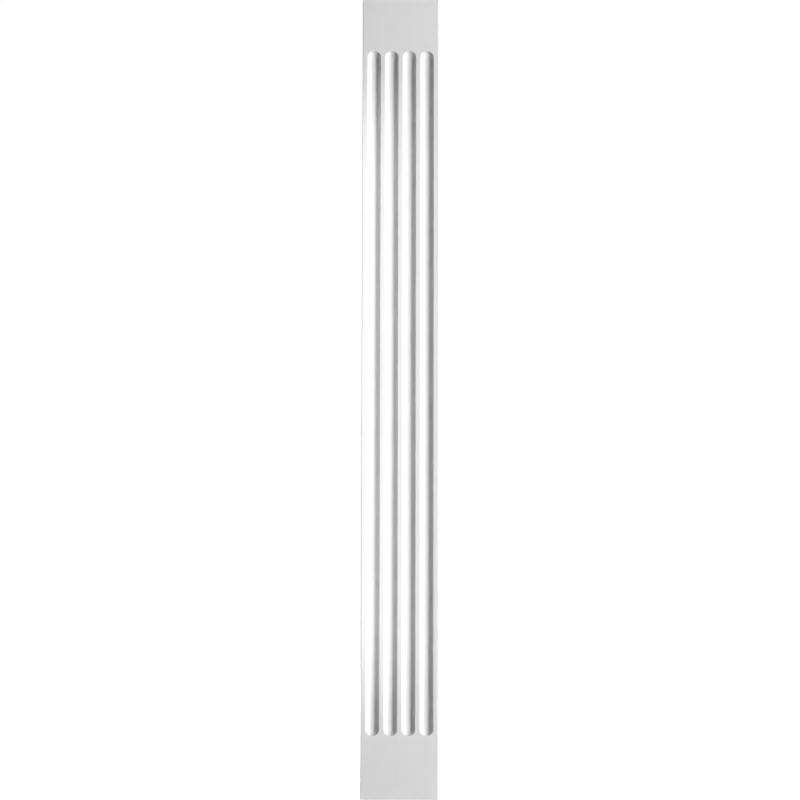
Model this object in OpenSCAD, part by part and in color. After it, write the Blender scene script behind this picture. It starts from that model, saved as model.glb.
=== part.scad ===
// A pilaster shaft: one moulded board whose face carries a row of stopped flutes
// between two plain blocks.
// X runs across the board, Z up its length, and the face looks along -Y. The origin is
// the centre of the flat back, which fixes to the wall. Sizes are in millimetres.

/* [Board] */
// Length of the board, from its bottom end to its top end
board_length = 2000; // [1000:10:3000]
// Width of the board across its face
board_width = 192; // [160:1:300]
// Thickness of the board, from its back to its face
board_thickness = 30; // [22:0.5:60]
// Radius along the two long edges of the face
edge_radius = 2; // [0.5:0.1:5]

/* [Flutes] */
// How many flutes lie side by side
flute_count = 4; // [1:1:5]
// Depth of a flute along its middle
flute_depth = 12.5; // [6:0.5:16]
// Width of the flat fillet between one flute and the next
fillet_width = 10; // [5:0.5:15]
// Width of the flat margin between an outer flute and the long edge
margin_width = 12; // [8:0.5:25]
// How far the arris round a flute is broken back
arris_break = 0.8; // [0.2:0.1:2]

/* [Plain blocks] */
// Height of the plain block above the flutes
top_block = 130; // [60:1:400]
// Height of the plain block below the flutes
bottom_block = 155; // [60:1:400]

/* [Hidden] */
$fn = 96;

// How far a cut runs out in front of the face, or past the middle of a flute
overrun = 2;

// The row of flutes fills the face between its two margins
flute_row = board_width - 2 * margin_width;
flute_width = (flute_row - (flute_count - 1) * fillet_width) / flute_count;
flute_pitch = flute_width + fillet_width;

// An arris is broken at 45 degrees, or flatter where a wide and shallow bowl has a flatter wall
arris_run = arris_break * max(1, flute_width / (3 * flute_depth));

// The bowl of a flute is an arc through its bottom and its two broken arrises
bowl_half_width = flute_width / 2 - arris_run;
bowl_sink = flute_depth - arris_break;
bowl_radius = (pow(bowl_half_width, 2) + pow(bowl_sink, 2)) / (2 * bowl_sink);

// A flute is stopped by a half-round end, whose centre lies half its width inside
stop_top = board_length / 2 - top_block - flute_width / 2;
stop_bottom = bottom_block + flute_width / 2 - board_length / 2;

// Cross-section of the plain board, with its back on y = 0 and its face towards -y
module board_section() {
    flat_width = board_width - 2 * edge_radius;
    body_thickness = board_thickness - edge_radius;
    translate([-board_width / 2, -body_thickness]) square([board_width, body_thickness]);
    translate([-flat_width / 2, -board_thickness]) square([flat_width, board_thickness]);
    for (side = [-1, 1])
        translate([side * flat_width / 2, -body_thickness]) circle(r = edge_radius);
}

// Cross-section of the space in a flute, with y = 0 on the face and y running inwards
module flute_section() {
    mouth = flute_width / 2 + overrun * arris_run / arris_break;
    throat = flute_width / 2 - 2 * arris_run;
    translate([0, flute_depth - bowl_radius]) circle(r = bowl_radius);
    // The broken arris flares from inside the bowl out past the face
    polygon([
        [-mouth, -overrun], [mouth, -overrun],
        [throat, 2 * arris_break], [-throat, 2 * arris_break]
    ]);
}

// The half-round end of a flute, which is its section turned about its own middle
module flute_stop() {
    reach = 2 * bowl_radius;
    rotate([-90, 0, 0]) rotate_extrude(angle = 180) intersection() {
        flute_section();
        translate([0, -reach]) square([reach, 2 * reach]);
    }
}

// One end of a flute, which is its stop and a straight run away from it
module flute_end(run) {
    linear_extrude(height = run) flute_section();
    flute_stop();
}

// The whole space of one flute, whose two ends overlap at its middle
module flute() {
    run = (stop_top - stop_bottom) / 2 + overrun;
    translate([0, 0, stop_bottom]) flute_end(run);
    translate([0, 0, stop_top]) mirror([0, 0, 1]) flute_end(run);
}

module pilaster_shaft() {
    color("whitesmoke") difference() {
        translate([0, 0, -board_length / 2]) linear_extrude(height = board_length) board_section();
        for (i = [0 : flute_count - 1])
            translate([(i - (flute_count - 1) / 2) * flute_pitch, -board_thickness, 0]) flute();
    }
}

pilaster_shaft();
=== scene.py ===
"""A moulded pilaster shaft in white primer, upright in a plain pale studio.

The shaft is one closed mesh, built from a few driving sizes. Its face carries a row of stopped
flutes whose arrises are truly rounded, its long edges are eased, and its ends are cut square.
X runs across the face, Z up the length, and the face looks along -Y. Lengths are in metres.
"""

from __future__ import annotations

import logging
import math
from dataclasses import dataclass
from enum import Enum
from typing import Any, NamedTuple, Union

import bpy
from mathutils import Matrix, Vector


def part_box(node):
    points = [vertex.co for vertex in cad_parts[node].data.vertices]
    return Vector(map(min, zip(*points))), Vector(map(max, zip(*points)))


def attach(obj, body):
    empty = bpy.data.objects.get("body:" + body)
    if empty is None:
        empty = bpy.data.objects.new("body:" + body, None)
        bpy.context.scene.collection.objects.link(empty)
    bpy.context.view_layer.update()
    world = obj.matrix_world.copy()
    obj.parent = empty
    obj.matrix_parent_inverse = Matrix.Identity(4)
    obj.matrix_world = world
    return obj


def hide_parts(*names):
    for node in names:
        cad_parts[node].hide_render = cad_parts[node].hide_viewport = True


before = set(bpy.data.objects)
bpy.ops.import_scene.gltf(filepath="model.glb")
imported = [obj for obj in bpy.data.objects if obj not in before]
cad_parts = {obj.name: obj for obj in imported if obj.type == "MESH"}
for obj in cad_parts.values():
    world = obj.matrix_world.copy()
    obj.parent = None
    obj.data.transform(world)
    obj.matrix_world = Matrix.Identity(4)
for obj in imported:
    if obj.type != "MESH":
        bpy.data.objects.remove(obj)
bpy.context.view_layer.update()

BODY = "root"
SHAFT_NODE = "pilaster_shaft"
MILLIMETRE = 0.001
# Between these lie nearly all the values of a noise
NOISE_BAND = (0.3, 0.7)

log = logging.getLogger("pilaster")


class Surface(Enum):
    """The surfaces of the board that are finished apart, in the order of its materials."""

    FACE = 0
    BACK = 1
    END = 2


class End(Enum):
    """An end of the board, as the direction that it faces along Z."""

    BOTTOM = -1
    TOP = 1


Triple = tuple[float, float, float]


class Spot(NamedTuple):
    """A point on a surface, with the direction that the surface faces there."""

    point: Triple
    normal: Triple


class OutlinePoint(NamedTuple):
    """A point of an outline seen from above, with its normal and the surface that starts there."""

    x: float
    y: float
    normal_x: float
    normal_y: float
    surface: Surface = Surface.FACE


# ---------------------------------------------------------------------------------------------
# Shader graphs


class Value:
    """A number that changes over a surface, which is one output socket of a shader graph."""

    def __init__(self, graph: Graph, socket: bpy.types.NodeSocket) -> None:
        """Wraps socket, which belongs to graph."""
        self.graph = graph
        self.socket = socket

    def _math(self, operation: str, first: Number, second: Number) -> Value:
        """Adds a Math node.

        Args:
            operation: The operation of the Math node.
            first: Its first number.
            second: Its second number.

        Returns:
            The result of the operation.
        """
        return self.graph.add("ShaderNodeMath", {"operation": operation}, {0: first, 1: second})

    def __add__(self, other: Number) -> Value:
        """Gives self + other."""
        return self._math("ADD", self, other)

    def __sub__(self, other: Number) -> Value:
        """Gives self - other."""
        return self._math("SUBTRACT", self, other)

    def __rsub__(self, other: Number) -> Value:
        """Gives other - self."""
        return self._math("SUBTRACT", other, self)

    def __mul__(self, other: Number) -> Value:
        """Gives self * other."""
        return self._math("MULTIPLY", self, other)

    __radd__ = __add__
    __rmul__ = __mul__


Number = Union[Value, float]
Colour = tuple[float, float, float, float]


class Graph:
    """The shader graph of a material or of the world."""

    def __init__(self, tree: bpy.types.NodeTree) -> None:
        """Starts an empty graph in tree."""
        self.tree = tree
        tree.nodes.clear()

    def add(
        self,
        kind: str,
        settings: dict[str, Any] | None = None,
        inputs: dict[str | int, Any] | None = None,
        output: str | int = 0,
    ) -> Value:
        """Adds one node.

        Args:
            kind: The type of the node.
            settings: Properties of the node, which are set first.
            inputs: For each input socket, by name or place, its value or what links to it.
            output: The output socket that is wanted, by name or place.

        Returns:
            That output of the node.
        """
        node = self.tree.nodes.new(kind)
        for name, setting in (settings or {}).items():
            setattr(node, name, setting)
        for name, given in (inputs or {}).items():
            if isinstance(given, Value):
                self.tree.links.new(given.socket, node.inputs[name])
            else:
                node.inputs[name].default_value = given
        return Value(self, node.outputs[output] if len(node.outputs) else None)

    def place(self, stretch: tuple[float, float, float] = (1.0, 1.0, 1.0)) -> Value:
        """Gives the place on the object, in metres.

        Args:
            stretch: How many times finer a pattern comes out along each axis.

        Returns:
            The place, as a vector.
        """
        spot = self.add("ShaderNodeTexCoord", output="Object")
        return self.add(
            "ShaderNodeVectorMath", {"operation": "MULTIPLY"}, {0: spot, 1: stretch}
        )

    def noise(
        self,
        grain: float,
        detail: float = 2.0,
        stretch: tuple[float, float, float] = (1.0, 1.0, 1.0),
    ) -> Value:
        """Adds a noise pattern.

        Args:
            grain: The length of one soft spot of the pattern, in metres.
            detail: How many finer octaves it has.
            stretch: How many times finer it is along each axis.

        Returns:
            The noise, which stays near 0.5.
        """
        inputs = {"Vector": self.place(stretch), "Scale": 1.0 / grain, "Detail": detail}
        return self.add("ShaderNodeTexNoise", {"noise_dimensions": "3D"}, inputs)

    def spread(self, value: Value, low: float, high: float) -> Value:
        """Spreads a narrow band of values over the whole range from 0 to 1, smoothly.

        Args:
            value: The value.
            low: Where it gives 0, as it does below.
            high: Where it gives 1, as it does above.

        Returns:
            The spread value.
        """
        settings = {"interpolation_type": "SMOOTHSTEP"}
        inputs = {"Value": value, "From Min": low, "From Max": high}
        return self.add("ShaderNodeMapRange", settings, inputs)

    def mix(self, share: Value, first: Colour, second: Colour) -> Value:
        """Mixes two colours.

        Args:
            share: How much of the second colour shows.
            first: The first colour.
            second: The second colour.

        Returns:
            The mixed colour.
        """
        factor, first_colour, second_colour, result = 0, 6, 7, 2
        inputs = {factor: share, first_colour: first, second_colour: second}
        return self.add("ShaderNodeMix", {"data_type": "RGBA"}, inputs, result)


def grey(level: float) -> Colour:
    """Gives the neutral colour of one reflectance."""
    return (level, level, level, 1.0)


def cover(
    graph: Graph,
    colour: Value,
    roughness: Value,
    relief: Value,
    relief_height: float,
    gloss: float,
) -> None:
    """Ends a graph in one opaque coat.

    Args:
        graph: The graph of the material.
        colour: The colour of the coat.
        roughness: Its roughness.
        relief: Its relief, from 0 to 1.
        relief_height: The height of that relief, in metres.
        gloss: How strongly it mirrors at all, where 0.5 is a common plastic.
    """
    bump = graph.add(
        "ShaderNodeBump", None, {"Strength": 1.0, "Distance": relief_height, "Height": relief}
    )
    inputs = {
        "Base Color": colour,
        "Roughness": roughness,
        "Normal": bump,
        "Specular IOR Level": gloss,
    }
    coat = graph.add("ShaderNodeBsdfPrincipled", None, inputs)
    graph.add("ShaderNodeOutputMaterial", None, {"Surface": coat})


@dataclass(frozen=True)
class SprayedPrimer:
    """White primer as it leaves the spray booth: matte, with a fine orange peel."""

    name: str = "sprayed_white_primer"
    thin_coat: float = 0.83
    full_coat: float = 0.87
    roughness: float = 0.56
    gloss: float = 0.4
    cloud: float = 90 * MILLIMETRE
    run: float = 14 * MILLIMETRE
    peel: float = 2.6 * MILLIMETRE
    grit: float = 0.7 * MILLIMETRE
    peel_height: float = 0.09 * MILLIMETRE
    gun_stroke: Triple = (1.0, 1.0, 0.12)
    uneven: float = 0.1
    gritty: float = 0.06

    def dress(self, graph: Graph) -> None:
        """Draws the finish.

        Args:
            graph: The graph of its material.
        """
        cloud = graph.spread(graph.noise(self.cloud, detail=3.0), *NOISE_BAND)
        # The gun passes along the board, so the coat varies more across it than along it
        passes = graph.spread(graph.noise(self.run, stretch=self.gun_stroke), *NOISE_BAND)
        peel = graph.noise(self.peel, detail=1.0)
        grit = graph.noise(self.grit)
        coat = cloud * 0.5 + passes * 0.3 + grit * 0.2
        relief = peel * 0.75 + grit * 0.25
        colour = graph.mix(coat, grey(self.thin_coat), grey(self.full_coat))
        roughness = self.roughness + self.uneven * (0.5 - cloud) + self.gritty * (grit - 0.5)
        cover(graph, colour, roughness, relief, self.peel_height, self.gloss)


@dataclass(frozen=True)
class SandedBack:
    """The back, which a drum sander levelled along its length before a thin coat of primer."""

    name: str = "sanded_back"
    worn: float = 0.76
    primed: float = 0.84
    roughness: float = 0.74
    gloss: float = 0.3
    cloud: float = 60 * MILLIMETRE
    scratch: float = 0.9 * MILLIMETRE
    grit: float = 0.6 * MILLIMETRE
    scratch_height: float = 0.12 * MILLIMETRE
    sander_stroke: Triple = (1.0, 1.0, 0.01)
    cloud_band: tuple[float, float] = (0.32, 0.68)
    uneven: float = 0.12

    def dress(self, graph: Graph) -> None:
        """Draws the finish.

        Args:
            graph: The graph of its material.
        """
        cloud = graph.spread(graph.noise(self.cloud, detail=4.0), *self.cloud_band)
        scratch = graph.noise(self.scratch, detail=3.0, stretch=self.sander_stroke)
        grit = graph.noise(self.grit)
        colour = graph.mix(cloud * 0.6 + scratch * 0.4, grey(self.worn), grey(self.primed))
        roughness = self.roughness + self.uneven * (scratch - 0.5)
        relief = scratch * 0.7 + grit * 0.3
        cover(graph, colour, roughness, relief, self.scratch_height, self.gloss)


@dataclass(frozen=True)
class SawnEnd:
    """A square-cut end: saw lines across the thickness, and the fine cells of the foam, whose pits are
    darkened with painted shade.
    """

    name: str = "sawn_end"
    painted_pit_shade: float = 0.62
    cut: float = 0.82
    roughness: float = 0.82
    gloss: float = 0.25
    saw_line: float = 1.4 * MILLIMETRE
    cell: float = 0.9 * MILLIMETRE
    cut_height: float = 0.15 * MILLIMETRE
    saw_stroke: Triple = (1.0, 0.04, 1.0)
    pit_band: tuple[float, float] = (0.3, 0.45)
    uneven: float = 0.1

    def dress(self, graph: Graph) -> None:
        """Draws the finish.

        Args:
            graph: The graph of its material.
        """
        lines = graph.noise(self.saw_line, stretch=self.saw_stroke)
        pits_and_painted_shade = graph.spread(graph.noise(self.cell, detail=1.0), *self.pit_band)
        # The bump sinks the pits, and the colour darkens them too: that darkening is painted shade
        colour = graph.mix(pits_and_painted_shade * 0.8 + lines * 0.2, grey(self.painted_pit_shade), grey(self.cut))
        roughness = self.roughness + self.uneven * (lines - 0.5)
        relief = lines * 0.5 + pits_and_painted_shade * 0.5
        cover(graph, colour, roughness, relief, self.cut_height, self.gloss)


Finish = Union[SprayedPrimer, SandedBack, SawnEnd]


def material_of(finish: Finish) -> bpy.types.Material:
    """Makes the material of one finish.

    Args:
        finish: The finish.

    Returns:
        Its material.
    """
    material = bpy.data.materials.new(finish.name)
    material.use_nodes = True
    finish.dress(Graph(material.node_tree))
    return material


# ---------------------------------------------------------------------------------------------
# Mesh


class Shell:
    """A closed surface, sewn from patches that share the points along their edges."""

    WELD_DIGITS = 7

    def __init__(self) -> None:
        """Starts with no points and no faces."""
        self.points: list[Triple] = []
        self.places: dict[tuple[float, ...], int] = {}
        self.faces: list[list[int]] = []
        self.normals: list[Triple] = []
        self.surfaces: list[int] = []

    def place(self, point: Triple) -> int:
        """Gives the number of a point, which is new unless one lies there already.

        Args:
            point: The point.

        Returns:
            Its number.
        """
        # Adding 0.0 turns a negative zero into a plain one, so that the two are one place
        key = tuple(round(value, self.WELD_DIGITS) + 0.0 for value in point)
        if key not in self.places:
            self.places[key] = len(self.points)
            self.points.append(point)
        return self.places[key]

    def face(self, spots: list[Spot], surface: Surface) -> None:
        """Adds one face, turned the way that its normals point.

        Args:
            spots: Its corners, in order round it. Corners that coincide count once.
            surface: The surface that it belongs to.
        """
        corners: list[tuple[int, Spot]] = []
        for spot in spots:
            number = self.place(spot.point)
            if number not in [known for known, _ in corners]:
                corners.append((number, spot))
        ring = [Vector(self.points[number]) for number, _ in corners]
        area = Vector()
        outwards = Vector()
        for first, second in zip(ring, ring[1:] + ring[:1]):
            area += (first - ring[0]).cross(second - ring[0])
        for _, spot in corners:
            outwards += Vector(spot.normal)
        if area.dot(outwards) < 0:
            corners.reverse()
        self.faces.append([number for number, _ in corners])
        self.normals.extend(spot.normal for _, spot in corners)
        self.surfaces.append(surface.value)

    def patch(self, rows: list[list[Spot]], surface: Surface) -> None:
        """Adds a grid of faces.

        Args:
            rows: The rows of the grid, each with as many spots.
            surface: The surface that it belongs to.
        """
        for row, above in zip(rows, rows[1:]):
            for i in range(len(row) - 1):
                self.face([row[i], row[i + 1], above[i + 1], above[i]], surface)

    def open_edges(self) -> int:
        """Counts the edges that don't join exactly two faces.

        Returns:
            How many there are, which is 0 on a closed skin.
        """
        uses: dict[frozenset[int], int] = {}
        for face in self.faces:
            for first, second in zip(face, face[1:] + face[:1]):
                edge = frozenset((first, second))
                uses[edge] = uses.get(edge, 0) + 1
        return sum(count != 2 for count in uses.values())

    def to_object(self, name: str, materials: list[bpy.types.Material]) -> bpy.types.Object:
        """Makes the object.

        Args:
            name: Its name.
            materials: Its materials, in the order of Surface.

        Returns:
            The object, linked to the scene.
        """
        mesh = bpy.data.meshes.new(name)
        mesh.from_pydata(self.points, [], self.faces)
        for material in materials:
            mesh.materials.append(material)
        mesh.polygons.foreach_set("material_index", self.surfaces)
        mesh.polygons.foreach_set("use_smooth", [True] * len(self.faces))
        mesh.normals_split_custom_set(self.normals)
        mesh.update()
        made = bpy.data.objects.new(name, mesh)
        bpy.context.scene.collection.objects.link(made)
        return made


def steps(start: float, end: float, count: int) -> list[float]:
    """Divides a stretch into equal steps.

    Args:
        start: Where it starts.
        end: Where it ends.
        count: How many steps it takes.

    Returns:
        The count + 1 places from start to end.
    """
    return [start + (end - start) * i / count for i in range(count + 1)]


# ---------------------------------------------------------------------------------------------
# The shaft


@dataclass
class Flute:
    """One flute: a bowl of round section between two rounded arrises.

    Attributes:
        half_width: From its middle to the flat face.
        depth: Its depth along the middle.
        arris_radius: The radius of the arris.
        stop_reach: How far its end reaches, as a share of half its width.
    """

    half_width: float
    depth: float
    arris_radius: float = 1.0 * MILLIMETRE
    stop_reach: float = 1.0
    bowl_steps: int = 18
    arris_steps: int = 5

    def section(self) -> list[tuple[float, float, float]]:
        """Works out half of its section.

        Returns:
            From its middle outwards, each point's distance from the middle, its depth below
            the face, and the angle by which the surface is turned from the face there.
        """
        # The bowl and the arris touch where the line through their centres meets both
        reach = (self.half_width**2 + self.depth**2) / (2 * self.depth)
        bowl_radius = reach - self.arris_radius
        turn = math.asin(self.half_width / reach)
        points = []
        for angle in steps(0.0, turn, self.bowl_steps):
            across = bowl_radius * math.sin(angle)
            points.append((across, self.depth - bowl_radius * (1 - math.cos(angle)), angle))
        for angle in steps(turn, 0.0, self.arris_steps)[1:]:
            across = self.half_width - self.arris_radius * math.sin(angle)
            points.append((across, self.arris_radius * (1 - math.cos(angle)), angle))
        return points

    def across(self, middle: float, face: float, height: float) -> list[Spot]:
        """Works out the whole section at one height.

        Args:
            middle: The place of its middle along X.
            face: The place of the face along Y.
            height: The height.

        Returns:
            Its spots, from left to right.
        """
        half = self.section()
        row = []
        for side, points in ((-1, half[::-1]), (1, half[1:])):
            for distance, depth, angle in points:
                point = (middle + side * distance, face + depth, height)
                row.append(Spot(point, (-side * math.sin(angle), -math.cos(angle), 0.0)))
        return row

    def stop(self, middle: float, face: float, height: float, end: End, turns: int) -> list[list[Spot]]:
        """Works out its half-round end.

        Args:
            middle: The place of its middle along X.
            face: The place of the face along Y.
            height: Where the straight flute ends.
            end: Which end it is.
            turns: How many steps the half turn takes.

        Returns:
            Its rings, from the middle outwards, each from right to left.
        """
        rings = []
        for distance, depth, angle in self.section():
            ring = []
            for turn in steps(0.0, math.pi, turns):
                rise = end.value * self.stop_reach * distance * math.sin(turn)
                point = (middle + distance * math.cos(turn), face + depth, height + rise)
                lean = math.sin(angle)
                inwards = end.value * lean * math.sin(turn) / self.stop_reach
                normal = Vector((-lean * math.cos(turn), -math.cos(angle), -inwards))
                ring.append(Spot(point, tuple(normal.normalized())))
            rings.append(ring)
        return rings


@dataclass
class MouldedShaft:
    """The board, with its row of stopped flutes between two plain blocks.

    Attributes:
        width: Across its face.
        thickness: From its back to its face.
        bottom: The height of its bottom end.
        top: The height of its top end.
    """

    width: float
    thickness: float
    bottom: float
    top: float
    flute_count: int = 4
    flute_depth: float = 12.5 * MILLIMETRE
    fillet_width: float = 10 * MILLIMETRE
    margin_width: float = 12 * MILLIMETRE
    top_block: float = 130 * MILLIMETRE
    bottom_block: float = 155 * MILLIMETRE
    edge_radius: float = 2 * MILLIMETRE
    back_radius: float = 0.7 * MILLIMETRE
    end_radius: float = 0.5 * MILLIMETRE
    apron: float = 12 * MILLIMETRE
    apron_rings: int = 3
    quarter_turns: int = 8
    edge_steps: int = 6
    end_steps: int = 3
    shaft_rows: int = 60
    block_rows: int = 6

    def __post_init__(self) -> None:
        """Works out the flutes from the driving sizes."""
        row = self.width - 2 * self.margin_width
        flute_width = (row - (self.flute_count - 1) * self.fillet_width) / self.flute_count
        pitch = flute_width + self.fillet_width
        first = -pitch * (self.flute_count - 1) / 2
        self.face = -self.thickness
        self.flat_edge = self.width / 2 - self.edge_radius
        self.flute = Flute(half_width=flute_width / 2, depth=self.flute_depth)
        self.middles = [first + pitch * i for i in range(self.flute_count)]
        borders = [middle + pitch / 2 for middle in self.middles[:-1]]
        self.borders = [-self.flat_edge, *borders, self.flat_edge]
        stop_depth = self.flute.half_width * self.flute.stop_reach
        self.stop_height = {
            End.BOTTOM: self.bottom + self.bottom_block + stop_depth,
            End.TOP: self.top - self.top_block - stop_depth,
        }
        self.apron_height = {
            end: height + end.value * (stop_depth + self.apron)
            for end, height in self.stop_height.items()
        }

    def on_face(self, across: float, height: float) -> Spot:
        """Gives a spot on the flat face."""
        return Spot((across, self.face, height), (0.0, -1.0, 0.0))

    def fluted_face(self, shell: Shell) -> None:
        """Adds the straight stretch of the face, where the flutes run their full section.

        Args:
            shell: The skin that it joins.
        """
        heights = steps(self.stop_height[End.BOTTOM], self.stop_height[End.TOP], self.shaft_rows)
        for i, middle in enumerate(self.middles):
            # The flats have the same joints as the aprons that they meet
            left = steps(self.borders[i], middle - self.flute.half_width, self.apron_rings)
            right = steps(middle + self.flute.half_width, self.borders[i + 1], self.apron_rings)
            rows = []
            for height in heights:
                row = [self.on_face(across, height) for across in left[:-1]]
                row += self.flute.across(middle, self.face, height)
                rows.append(row + [self.on_face(across, height) for across in right[1:]])
            shell.patch(rows, Surface.FACE)

    def apron_edge(self, i: int, end: End) -> list[Spot]:
        """Works out the outer edge of the flat round one flute's end.

        Args:
            i: The number of the flute.
            end: Which end it is.

        Returns:
            Its spots, up the right side, along the far side, and down the left side.
        """
        left, right = self.borders[i], self.borders[i + 1]
        near, far = self.stop_height[end], self.apron_height[end]
        rise = steps(near, far, self.quarter_turns)
        run = steps(right, left, 2 * self.quarter_turns)
        edge = [self.on_face(right, height) for height in rise]
        edge += [self.on_face(across, far) for across in run[1:]]
        return edge + [self.on_face(left, height) for height in rise[-2::-1]]

    def flute_stops(self, shell: Shell, end: End) -> None:
        """Adds the stops of the flutes at one end, and the flat round each.

        Args:
            shell: The shell that they join.
            end: Which end it is.
        """
        for i, middle in enumerate(self.middles):
            rings = self.flute.stop(
                middle, self.face, self.stop_height[end], end, 4 * self.quarter_turns
            )
            rim, edge = rings[-1], self.apron_edge(i, end)
            for share in steps(0.0, 1.0, self.apron_rings)[1:]:
                ring = []
                for inner, outer in zip(rim, edge):
                    inner_across, _, inner_height = inner.point
                    outer_across, _, outer_height = outer.point
                    across = inner_across + (outer_across - inner_across) * share
                    height = inner_height + (outer_height - inner_height) * share
                    ring.append(self.on_face(across, height))
                rings.append(ring)
            shell.patch(rings, Surface.FACE)

    def corner(self, side: int, front: bool) -> list[OutlinePoint]:
        """Works out one rounded long edge, seen from above.

        Args:
            side: 1 for the right side, -1 for the left.
            front: Whether it is at the face, and not at the back.

        Returns:
            Its points, from front or back to the side.
        """
        radius = self.edge_radius if front else self.back_radius
        towards = -1 if front else 1
        middle_x = side * (self.width / 2 - radius)
        middle_y = self.face + radius if front else -radius
        points = []
        for angle in steps(0.0, math.pi / 2, self.edge_steps):
            normal_x, normal_y = side * math.sin(angle), towards * math.cos(angle)
            x = middle_x + radius * normal_x
            y = middle_y + radius * normal_y
            points.append(OutlinePoint(x, y, normal_x, normal_y))
        return points

    def wrap(self) -> list[OutlinePoint]:
        """Works out the outline from the right end of the flat face, round the back, to its left.

        Returns:
            Its points.
        """
        right_front = self.corner(1, True)
        right_back = self.corner(1, False)[::-1]
        left_back = self.corner(-1, False)
        left_front = self.corner(-1, True)[::-1]
        right_back[-1] = right_back[-1]._replace(surface=Surface.BACK)
        return right_front + right_back + left_back + left_front

    def sweep(self, shell: Shell, outline: list[OutlinePoint], heights: list[float]) -> None:
        """Adds the walls that an outline sweeps.

        Args:
            shell: The shell that they join.
            outline: The points of the outline.
            heights: The heights of its rows.
        """
        for here, there in zip(outline, outline[1:]):
            rows = []
            for height in heights:
                row = []
                for x, y, normal_x, normal_y, _ in (here, there):
                    row.append(Spot((x, y, height), (normal_x, normal_y, 0.0)))
                rows.append(row)
            shell.patch(rows, here.surface)

    def block_front(self) -> list[OutlinePoint]:
        """Works out the outline of a plain block along its face, from left to right.

        Returns:
            Its points.
        """
        front = [OutlinePoint(self.borders[0], self.face, 0.0, -1.0)]
        for left, right in zip(self.borders, self.borders[1:]):
            for across in steps(left, right, 2 * self.quarter_turns)[1:]:
                front.append(OutlinePoint(across, self.face, 0.0, -1.0))
        return front

    def close(self, shell: Shell, end: End) -> None:
        """Adds one square-cut end, with its edges eased.

        Args:
            shell: The shell that it joins.
            end: Which end it is.
        """
        tip = self.top if end is End.TOP else self.bottom
        outline = self.block_front() + self.wrap()[1:]
        rows = []
        for angle in steps(0.0, math.pi / 2, self.end_steps):
            inset = self.end_radius * (1 - math.cos(angle))
            height = tip - end.value * self.end_radius * (1 - math.sin(angle))
            row = []
            for x, y, normal_x, normal_y, _ in outline:
                point = (x - normal_x * inset, y - normal_y * inset, height)
                lean = math.cos(angle)
                normal = (normal_x * lean, normal_y * lean, end.value * math.sin(angle))
                row.append(Spot(point, normal))
            rows.append(row)
        shell.patch(rows, Surface.END)
        shell.face(rows[-1][:-1], Surface.END)

    def build(self) -> Shell:
        """Sews the whole board.

        Returns:
            Its shell.
        """
        shell = Shell()
        self.fluted_face(shell)
        wrap = self.wrap()
        straight = steps(self.stop_height[End.BOTTOM], self.stop_height[End.TOP], self.shaft_rows)
        self.sweep(shell, wrap, straight)
        for end in End:
            self.flute_stops(shell, end)
            near, far = self.stop_height[end], self.apron_height[end]
            self.sweep(shell, wrap, steps(near, far, self.quarter_turns))
            tip = self.top if end is End.TOP else self.bottom
            block = steps(far, tip - end.value * self.end_radius, self.block_rows)
            self.sweep(shell, self.block_front() + wrap[1:], block)
            self.close(shell, end)
        return shell

    def make(self) -> bpy.types.Object:
        """Builds and dresses the shaft, and sets it in place of the plain board.

        Returns:
            The finished piece.
        """
        shell = self.build()
        finishes = {
            Surface.FACE: SprayedPrimer(),
            Surface.BACK: SandedBack(),
            Surface.END: SawnEnd(),
        }
        piece = shell.to_object("moulded_shaft", [material_of(finishes[surface]) for surface in Surface])
        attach(piece, BODY)
        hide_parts(SHAFT_NODE)
        log.info("%s: %d faces, %d open edges", piece.name, len(shell.faces), shell.open_edges())
        return piece


# ---------------------------------------------------------------------------------------------
# The studio


@dataclass(frozen=True)
class PaintedFloor:
    """A pale studio floor that reads as white, but for the soft shadow at the shaft's foot.

    Attributes:
        name: The name of its material.
        reflectance: How much of the light it gives back.
        near_glow: Its own light round the shaft, where the lamps add theirs.
        far_glow: Its own light further off, where it meets the pale air.
        near: How far from the shaft the near glow reaches.
        far: Where the far glow starts.
    """

    name: str = "pale_floor"
    reflectance: float = 0.8
    near_glow: float = 0.86
    far_glow: float = 0.995
    near: float = 0.5
    far: float = 2.5

    def dress(self, graph: Graph) -> None:
        """Draws the finish in graph.

        Args:
            graph: The graph of its material.
        """
        distance = graph.add(
            "ShaderNodeVectorMath", {"operation": "LENGTH"}, {0: graph.place()}, "Value"
        )
        away = graph.spread(distance, self.near, self.far)
        inputs = {
            "Base Color": grey(self.reflectance),
            "Roughness": 0.9,
            "Specular IOR Level": 0.0,
            "Emission Color": graph.mix(away, grey(self.near_glow), grey(self.far_glow)),
            "Emission Strength": 1.0,
        }
        paint = graph.add("ShaderNodeBsdfPrincipled", None, inputs)
        graph.add("ShaderNodeOutputMaterial", None, {"Surface": paint})


@dataclass(frozen=True)
class Lamp:
    """One area light, which faces the middle of the shaft unless it is moved aside.

    Attributes:
        name: Its name.
        turn: How far it stands to the right of the face's front, in degrees.
        rise: How far it stands above the horizon, in degrees.
        distance: How far it is from the middle of the shaft.
        size: Its width and height.
        power: Its power, in watts.
        spread: The angle of its beam, in degrees.
        aside: How far its whole beam is moved to the right, in metres.
    """

    name: str
    turn: float
    rise: float
    distance: float
    size: tuple[float, float]
    power: float
    spread: float = 180.0
    aside: float = 0.0


LAMPS = (
    Lamp("key", turn=45.0, rise=0.0, distance=4.8, size=(0.75, 5.1), power=246.0),
    Lamp("side_key", turn=65.0, rise=0.0, distance=4.8, size=(0.75, 5.1), power=98.0),
    Lamp("pool", turn=0.0, rise=0.0, distance=4.0, size=(0.5, 1.44), power=0.95, spread=6.0, aside=-0.25),
    # These two stand wholly behind the face, and light the back, the left side and the top
    Lamp("back_fill", turn=195.0, rise=42.0, distance=4.0, size=(2.4, 2.4), power=110.0),
    Lamp("left_fill", turn=250.0, rise=20.0, distance=4.0, size=(1.4, 2.4), power=92.0),
)


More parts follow.
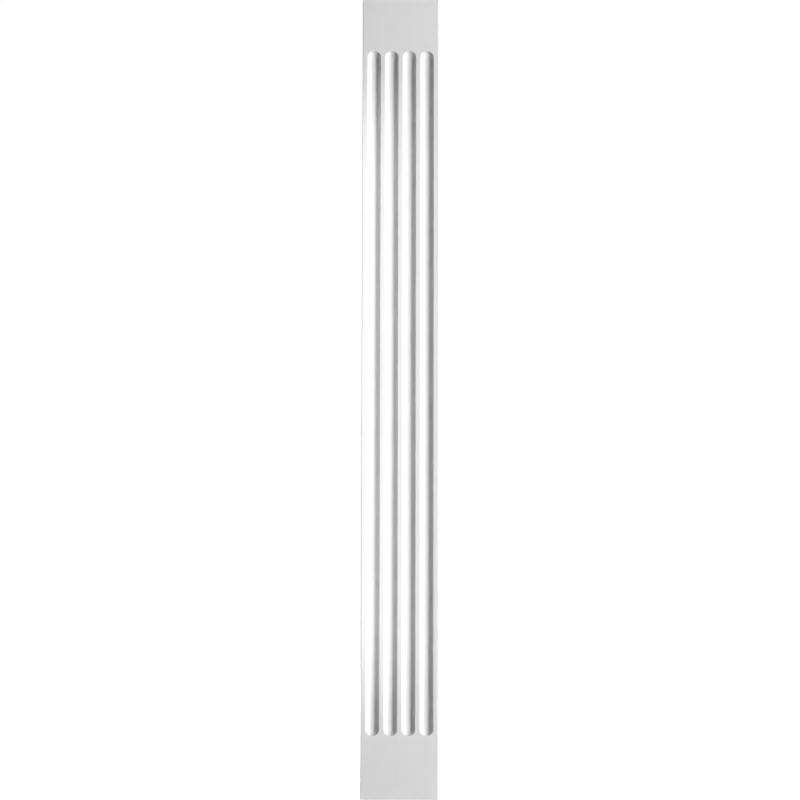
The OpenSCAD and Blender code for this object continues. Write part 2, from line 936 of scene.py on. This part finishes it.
@dataclass
class Studio:
    """The floor, the lights and the camera round the shaft.

    Attributes:
        low: The lowest corner of the shaft.
        high: Its highest corner.
        distance: From the camera to the face.
        drop: How far below the shaft's middle the camera is.
        roll: How far the camera leans, in degrees.
        ambient: The strength of the even light that falls on the shaft.
    """

    low: Vector
    high: Vector
    distance: float = 5.0
    drop: float = 0.36
    floor_size: float = 60.0
    sensor: float = 36.0
    roll: float = 0.12
    ambient: float = 0.014

    def lay_floor(self) -> None:
        """Lays the floor under the shaft's bottom end."""
        half = self.floor_size / 2
        corners = [(-half, -half), (half, -half), (half, half), (-half, half)]
        mesh = bpy.data.meshes.new("floor")
        mesh.from_pydata([(x, y, 0.0) for x, y in corners], [], [(0, 1, 2, 3)])
        finish = PaintedFloor()
        material = bpy.data.materials.new(finish.name)
        material.use_nodes = True
        finish.dress(Graph(material.node_tree))
        mesh.materials.append(material)
        floor = bpy.data.objects.new("floor", mesh)
        floor.location = (0.0, 0.0, self.low.z)
        # The glow makes the floor read as white, and doesn't light the shaft from below. The
        # tall lamps reach past the floor, which doesn't shade the shaft's foot from them.
        floor.visible_diffuse = False
        floor.visible_glossy = False
        floor.visible_shadow = False
        bpy.context.scene.collection.objects.link(floor)

    def light(self, lamp: Lamp) -> None:
        """Hangs one area light.

        Args:
            lamp: The light.
        """
        area = bpy.data.lights.new(lamp.name, "AREA")
        area.shape = "RECTANGLE"
        area.size, area.size_y = lamp.size
        area.energy = lamp.power
        area.spread = math.radians(lamp.spread)
        holder = bpy.data.objects.new(lamp.name, area)
        turn, rise = math.radians(lamp.turn), math.radians(lamp.rise)
        level = math.cos(rise)
        towards = Vector((math.sin(turn) * level, -math.cos(turn) * level, math.sin(rise)))
        middle = (self.low + self.high) / 2
        holder.location = middle + towards * lamp.distance + Vector((lamp.aside, 0.0, 0.0))
        holder.rotation_euler = (-towards).to_track_quat("-Z", "Y").to_euler()
        bpy.context.scene.collection.objects.link(holder)

    def fill_air(self) -> None:
        """Surrounds the scene with an even pale light, which the camera sees as white."""
        world = bpy.data.worlds.new("pale_air")
        world.use_nodes = True
        graph = Graph(world.node_tree)
        seen = graph.add("ShaderNodeLightPath", output="Is Camera Ray")
        strength = self.ambient + (1.0 - self.ambient) * seen
        air = graph.add("ShaderNodeBackground", None, {"Color": grey(1.0), "Strength": strength})
        graph.add("ShaderNodeOutputWorld", None, {"Surface": air})
        bpy.context.scene.world = world

    def set_camera(self) -> None:
        """Sets the camera square on to the face, with the shaft filling the frame's height."""
        middle = (self.low + self.high) / 2
        eye = Vector((middle.x, self.low.y - self.distance, middle.z - self.drop))
        up = math.atan((self.high.z - eye.z) / self.distance)
        down = math.atan((self.low.z - eye.z) / self.distance)
        lens = bpy.data.cameras.new("camera")
        lens.sensor_width = self.sensor
        lens.lens = self.sensor / 2 / math.tan((up - down) / 2)
        camera = bpy.data.objects.new("camera", lens)
        camera.location = eye
        tilt = Matrix.Rotation(math.pi / 2 + (up + down) / 2, 3, "X")
        camera.rotation_euler = (tilt @ Matrix.Rotation(math.radians(self.roll), 3, "Z")).to_euler()
        bpy.context.scene.collection.objects.link(camera)
        bpy.context.scene.camera = camera

    def set_up(self) -> None:
        """Sets up the whole studio."""
        self.lay_floor()
        self.fill_air()
        for lamp in LAMPS:
            self.light(lamp)
        self.set_camera()
        view = bpy.context.scene.view_settings
        view.view_transform = "Standard"
        view.look = "None"


def main() -> None:
    """Builds the shaft and its studio."""
    logging.basicConfig(level=logging.INFO, format="%(name)s: %(message)s")
    low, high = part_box(SHAFT_NODE)
    shaft = MouldedShaft(width=high.x - low.x, thickness=high.y - low.y, bottom=low.z, top=high.z)
    shaft.make()
    Studio(low, high).set_up()


if __name__ == "__main__":
    main()
